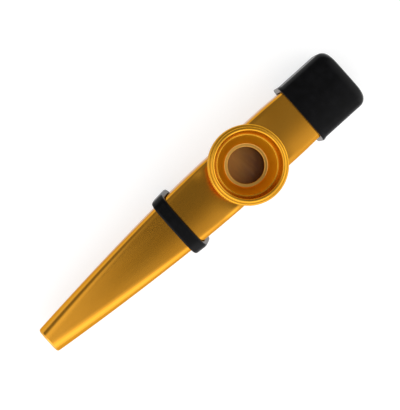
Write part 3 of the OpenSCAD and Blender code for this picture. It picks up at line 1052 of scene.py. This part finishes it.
def grown_by(size, width, depth, corner=0.0):
    return size[0] + width, size[1] + depth, size[2] + corner


def line_at(s):
    """Height of the mould line, which runs out before the flare and where the nose turns in."""
    return LINE_HEIGHT if sleeve_place + FLARE < s < sleeve_end - NOSE else 0.0


rings = [(sleeve_place, cavity)]
for gone, left in quarter_turn(FLARE_STEPS):
    size = grown_by(flared, -FLARE_EDGE[0] * left, -FLARE_EDGE[1] * left)
    rings.append((sleeve_place + FLARE_EDGE[0] * gone, size))
for t in (k / FADE_STEPS for k in range(1, FADE_STEPS + 1)):
    size = grown_by(flared, -FLARE * eased(t), 0.0)
    rings.append((sleeve_place + FLARE_EDGE[0] + FLARE_FADE * t, size))
rings += [(wall_start + (wall_end - wall_start) * k / WALL_STEPS, outer) for k in range(1, WALL_STEPS)]
for gone, left in quarter_turn(NOSE_STEPS):
    rings.append((sleeve_end - NOSE_SIDE * left, grown_by(outer, -NOSE_SIDE * gone, -NOSE_TOP * gone)))
for gone, left in quarter_turn(EDGE_STEPS):
    edge = SLOT_EDGE * left
    rings.append((sleeve_end - SLOT_EDGE * gone, grown_by(slot, edge, edge, edge)))
rings += [(sleeve_end - NOSE, slot), (sleeve_end - NOSE, cavity)]
sleeve_mesh = loft("mouth_sleeve", [outline_at(s, *size, line=line_at(s)) for s, size in rings])
mouth_sleeve = place_piece(
    "mouth_sleeve", sleeve_mesh, "sleeve", "black_rubber", black_rubber, "mouthpiece_sleeve"
)
soften(mouth_sleeve, SLEEVE_EDGE)

# %% Band round the body
BAND_WIDTH = 4.2 * MM
BAND_WALL = 1.35 * MM
BAND_LEAN = 3.6 * MM
BAND_SWELL = 0.25 * MM
BAND_EDGE, BAND_EDGE_DROP = 0.8 * MM, 0.4 * MM
BAND_SOFT_EDGE = 0.15 * MM
BAND_TO_CUP = 25.2 * MM

band_place = cup_place - BAND_TO_CUP
band_front, band_back = band_place - BAND_WIDTH / 2, band_place + BAND_WIDTH / 2
lean = BAND_LEAN / 2 / (body_section(band_place, body_sizes)[1] + BAND_WALL)


def band_size(s, out):
    """The body's own size under the leaning band, and so much further out."""
    half_width, half_depth, corner, _ = body_section(s + BAND_LEAN / 2, body_sizes)
    return half_width + out, half_depth + out, corner + out


rings = [(band_front, band_size(band_front, RUBBER_FIT), 0.0)]
for start, inward in ((band_front, 1), (band_back, -1)):
    edge = []
    for gone, left in quarter_turn(EDGE_STEPS):
        size = band_size(start, RUBBER_FIT + BAND_WALL - BAND_EDGE_DROP * left)
        edge.append((start + inward * BAND_EDGE * gone, size, BAND_SWELL))
    rings += edge[::inward]
rings.append((band_back, band_size(band_back, RUBBER_FIT), 0.0))
band_mesh = loft("rubber_band", [outline_at(s, *size, lean, swell) for s, size, swell in rings])
rubber_band = place_piece("rubber_band", band_mesh, "band", "black_rubber", black_rubber, "body_band")
soften(rubber_band, BAND_SOFT_EDGE)

# %% [markdown]
# ## Floor, light and camera
# The kazoo lies on a plain pale floor under a dome of soft white light, with one large soft lamp on the near
# side. Metal shows what it mirrors, so the dome isn't even: right overhead it is dark, and it brightens down
# to the outlet side and the near side, and less to the mouthpiece side. The level part of the body mirrors
# the dark top and looks brown, and the taper leans to the bright outlet side and looks pale. Each part of the
# dome is a soft step along a direction, and a bright band along the skyline carries the floor on past its
# edge. The camera looks almost straight down, turned so that the kazoo runs from the lower left of the
# picture to the upper right.

# %% Floor
FLOOR_HALF = 2.0
FLOOR_GREY = (0.42, 0.42, 0.42)
FLOOR_GLOW = 0.67
MOTTLE_GRAINS = 30.0

floor_corners = [(x * FLOOR_HALF, y * FLOOR_HALF, 0.0) for x, y in ((-1, -1), (1, -1), (1, 1), (-1, 1))]
floor_mesh = bpy.data.meshes.new("floor")
floor_mesh.from_pydata(floor_corners, [], [(0, 1, 2, 3)])
floor = bpy.data.objects.new("floor", floor_mesh)
bpy.context.collection.objects.link(floor)
floor_paint, bench, shader = new_finish(
    "floor_paint", FLOOR_GREY, 0.0, 0.9, Emission_Color=(1.0, 1.0, 1.0, 1.0), Emission_Strength=FLOOR_GLOW
)
feed(bench, 0.86 + 0.08 * speckle(bench, object_place(bench), MOTTLE_GRAINS), shader, "Roughness")
floor_mesh.materials.append(floor_paint)
floor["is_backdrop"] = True
print("floor at the resting plane")

# %% A dome of soft light
DARK = 0.14
NEAR_RISE, NEAR_BRIGHT = (0.06, 0.18), 0.72
OUTLET_RISE, OUTLET_BRIGHT = (0.045, 0.085), 1.05
NOTCH_PLACE, NOTCH_HALF_WIDTH, NOTCH = -0.062, 0.09, 0.035
MOUTH_RISE, MOUTH_BRIGHT = (-0.02, 0.16), 0.25
WALL_RISE, WALL_BRIGHT = (0.22, 0.4), 0.5
FOOT_RISE, FOOT_BRIGHT = (0.6, 0.25), 0.45
OUTLET_WALL_RISE, MOUTH_WALL_RISE = (-0.02, 0.08), (0.15, 0.3)
FAR_RISE, FAR_BRIGHT = (0.05, 0.18), 0.18
FAR_CORNER, FAR_CORNER_RISE, FAR_END_RISE = 0.052, (0.04, 0.1), (0.6, 0.25)
SKYLINE_FADE, SKYLINE_BRIGHT = (0.1, 0.12), 1.05


def lit_part(way, rise):
    """Share of a part's full light. rise says how far off the vertical it starts, and how far it takes."""
    return eased((way - rise[0]) / rise[1])


world = bpy.data.worlds.new("studio")
world.use_nodes = True
bench = Bench(world.node_tree)
east, north, height = bench.split(bench.add("ShaderNodeTexCoord", out="Generated"))
notch = NOTCH * (1.0 - clamped(abs(north - NOTCH_PLACE) / NOTCH_HALF_WIDTH))
near = lit_part(0.0 - north, NEAR_RISE) * NEAR_BRIGHT
corner = FAR_CORNER * lit_part(north, FAR_CORNER_RISE)
outlet = lit_part(0.0 - east - notch - corner, OUTLET_RISE) * OUTLET_BRIGHT
mouth = lit_part(east, MOUTH_RISE) * MOUTH_BRIGHT
off_middle = most(0.0 - north, abs(east))
walls = lit_part(off_middle, WALL_RISE) * WALL_BRIGHT + lit_part(off_middle, FOOT_RISE) * FOOT_BRIGHT
walls = walls * most(lit_part(0.0 - east, OUTLET_WALL_RISE), lit_part(east, MOUTH_WALL_RISE))
far = lit_part(north, FAR_RISE)
open_sides = (near - near * outlet + mouth + walls) * (1.0 - far)
glow = DARK + FAR_BRIGHT * far + open_sides + outlet * (1.0 - lit_part(north, FAR_END_RISE))
skyline = 1.0 - lit_part(abs(height), SKYLINE_FADE)
glow = most(glow, SKYLINE_BRIGHT * skyline)
feed(bench, glow, world.node_tree.nodes["Background"], "Strength")
world.node_tree.nodes["Background"].inputs["Color"].default_value = (1.0, 1.0, 1.0, 1.0)
bpy.context.scene.world = world
bpy.context.scene.view_settings.view_transform = "Standard"
print("dome:", len(bench.tree.nodes), "nodes")

# %% One large soft lamp
LAMP_WIDTH = 0.7
LAMP_WATTS = 0.35
LAMP_PLACE = Vector((-0.15, -0.8, 0.65))
LAMP_AIM = Vector((0.0, 0.0, 0.01))

lamp_data = bpy.data.lights.new("soft_lamp", "AREA")
lamp_data.shape, lamp_data.size, lamp_data.energy = "DISK", LAMP_WIDTH, LAMP_WATTS
lamp = bpy.data.objects.new("soft_lamp", lamp_data)
lamp.location = LAMP_PLACE
lamp.rotation_euler = (LAMP_AIM - LAMP_PLACE).to_track_quat("-Z", "Y").to_euler()
bpy.context.collection.objects.link(lamp)
print("lamp of", LAMP_WIDTH, "m at", tuple(round(v, 2) for v in LAMP_PLACE))

# %% Camera
TURN = math.radians(42.0)
CAMERA_DISTANCE = 0.6
SENSOR_MM, LENS_MM = 36.0, 180.0

toward_camera = Vector((-0.082, 0.058, 1.0)).normalized()
camera_place = Vector((cup_axis.x, 0.0, rim_z)) + toward_camera * CAMERA_DISTANCE
aim = Vector((0.001, 0.0, 0.012))

camera_data = bpy.data.cameras.new("camera")
camera_data.sensor_width, camera_data.lens = SENSOR_MM, LENS_MM
camera = bpy.data.objects.new("camera", camera_data)
back = (camera_place - aim).normalized()
right = Vector((math.cos(TURN), -math.sin(TURN), 0.0))
right = (right - back * right.dot(back)).normalized()
up = back.cross(right)
camera.matrix_world = Matrix.Translation(camera_place) @ Matrix((right, up, back)).transposed().to_4x4()
bpy.context.collection.objects.link(camera)
bpy.context.scene.camera = camera
print("camera", [round(v, 3) for v in camera_place])

# %% [markdown]
# ## Last checks
# The finished model has to keep the solids' size. The far corner of the dressed model's box is set against
# the solids', and the difference is printed.

# %% Write the sizes and finish
dressed_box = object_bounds()
growth = [round((dressed - cad) / MM, 3) for cad, dressed in zip(cad_box[1], dressed_box[1])]
print(len(pieces), "pieces, with the far corner moved by", growth, "mm")
